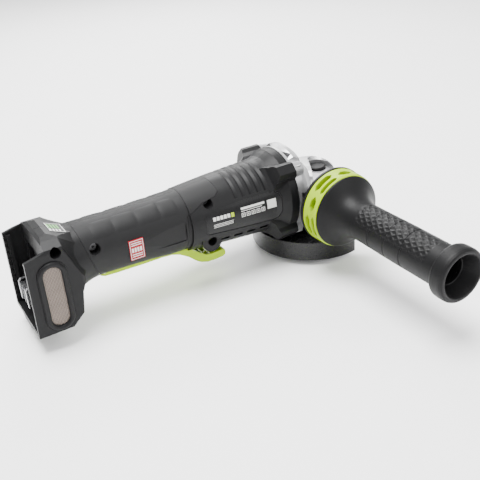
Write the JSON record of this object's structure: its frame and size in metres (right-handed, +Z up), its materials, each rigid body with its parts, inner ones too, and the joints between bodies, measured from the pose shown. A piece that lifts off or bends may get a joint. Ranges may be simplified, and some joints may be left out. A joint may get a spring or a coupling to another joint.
{
  "type": "angle grinder",
  "caption": "Cordless paddle-switch angle grinder with swivelling disc guard, side handle and open battery foot.",
  "frame": {"origin": "centre of the disc seat on the inner flange, on the spindle axis", "axes": "+X forward along the tool from the battery foot to the gear head, +Y to the tool's left, +Z up along the spindle axis, away from the disc"},
  "size_m": [0.3405, 0.288, 0.1136],
  "materials": {
    "gear_head_aluminium": "satin",
    "bright_steel": "satin",
    "brass_parts": "satin",
    "guard_paint": "satin",
    "shell_plastic": "matte",
    "soft_grip": "matte",
    "lime_plastic": "satin",
    "dark_panel": "satin",
    "red_badge": "gloss",
    "pale_sticker": "satin",
    "mesh_metal": "satin",
    "board_green": "satin",
    "lead_sleeve": "matte"
  },
  "bodies": {
    "tool_body": {"gear_housing": "gear_head_aluminium", "gear_housing_screws": "bright_steel", "bearing_cover": "gear_head_aluminium", "bearing_cover_screws": "bright_steel", "spindle_bearing": "bright_steel", "upper_bush": "brass_parts", "lock_spring": "bright_steel", "stator_core": "bright_steel", "stator_coils": "brass_parts", "fan_baffle": "shell_plastic", "front_bearing": "bright_steel", "rear_bearing": "bright_steel", "rear_bearing_boot": "soft_grip", "housing_right": "shell_plastic", "housing_left": "shell_plastic", "grip_sleeve_right": "soft_grip", "grip_sleeve_left": "soft_grip", "housing_screws": "bright_steel", "rating_label": "dark_panel", "grip_badge": "red_badge", "neck_sticker": "pale_sticker", "paddle_pin": "bright_steel", "paddle_spring": "bright_steel", "switch_body": "shell_plastic", "controller_tray": "shell_plastic", "controller_board": "board_green", "terminal_block": "shell_plastic", "battery_terminals": "bright_steel", "battery_leads": "lead_sleeve", "motor_leads": "lead_sleeve"},
    "spindle_body": {"spindle": "bright_steel", "crown_gear": "bright_steel", "gear_retaining_ring": "bright_steel", "inner_flange": "bright_steel", "outer_flange_nut": "bright_steel"},
    "rotor_body": {"rotor_shaft": "bright_steel", "rotor_core": "bright_steel", "pinion": "bright_steel", "fan": "shell_plastic"},
    "guard_body": {"guard_shell": "guard_paint", "guard_band": "guard_paint", "guard_clamp_screw": "bright_steel"},
    "lock_button_body": {"lock_button": "shell_plastic", "lock_pin": "bright_steel"},
    "paddle_body": {"paddle_lever": "lime_plastic", "lock_off_pin": "bright_steel"},
    "lock_off_body": {"lock_off_tab": "shell_plastic"},
    "plunger_body": {"switch_plunger": "shell_plastic"},
    "side_handle_body": {"handle_stud": "bright_steel", "handle_core": "shell_plastic", "damper_ring": "lime_plastic", "handle_grip": "soft_grip", "handle_end_knob": "soft_grip"},
    "right_filter_body": {"dust_filter_right": "shell_plastic", "filter_mesh_right": "mesh_metal"},
    "left_filter_body": {"dust_filter_left": "shell_plastic", "filter_mesh_left": "mesh_metal"}
  },
  "joints": [
    {"name": "spindle_spin", "type": "hinge", "parent": "tool_body", "child": "spindle_body", "pos_m": [0, 0, 0], "axis": [0, 0, 1], "continuous": true},
    {"name": "rotor_spin", "type": "hinge", "parent": "tool_body", "child": "rotor_body", "pos_m": [0, 0, 0.052], "axis": [1, 0, 0], "continuous": true},
    {"name": "paddle_squeeze", "type": "hinge", "parent": "tool_body", "child": "paddle_body", "pos_m": [-0.236, 0, 0.033], "axis": [0, -1, 0], "range_deg": [0, 2.6], "stiffness_Nm_per_rad": 6, "springref_deg": -8.59, "deforming": ["paddle_spring"]},
    {"name": "lock_off_tip", "type": "hinge", "parent": "paddle_body", "child": "lock_off_body", "pos_m": [-0.18, 0, 0.0298], "axis": [0, -1, 0], "range_deg": [0, 20], "stiffness_Nm_per_rad": 0.02, "springref_deg": -28.65},
    {"name": "switch_press", "type": "slide", "parent": "tool_body", "child": "plunger_body", "axis": [0, 0, 1], "range_m": [0, 0.003]},
    {"name": "lock_button_press", "type": "slide", "parent": "tool_body", "child": "lock_button_body", "axis": [0, 0, -1], "range_m": [0, 0.0045], "stiffness_N_per_m": 400, "springref_m": -0.003, "deforming": ["lock_spring"]},
    {"name": "guard_swivel", "type": "hinge", "parent": "tool_body", "child": "guard_body", "pos_m": [0, 0, 0], "axis": [0, 0, 1], "range_deg": [-90, 90]},
    {"name": "side_handle_unscrew", "type": "slide", "parent": "tool_body", "child": "side_handle_body", "axis": [0, -1, 0], "range_m": [0, 0.02]},
    {"name": "right_filter_pull", "type": "slide", "parent": "tool_body", "child": "right_filter_body", "axis": [0, -1, 0], "range_m": [0, 0.012]},
    {"name": "left_filter_pull", "type": "slide", "parent": "tool_body", "child": "left_filter_body", "axis": [0, 1, 0], "range_m": [0, 0.012]}
  ],
  "couplings": [
    {"joint": "rotor_spin", "follows": "spindle_spin", "ratio": -3.4},
    {"joint": "switch_press", "follows": "paddle_squeeze", "m_per_rad": 0.064}
  ]
}
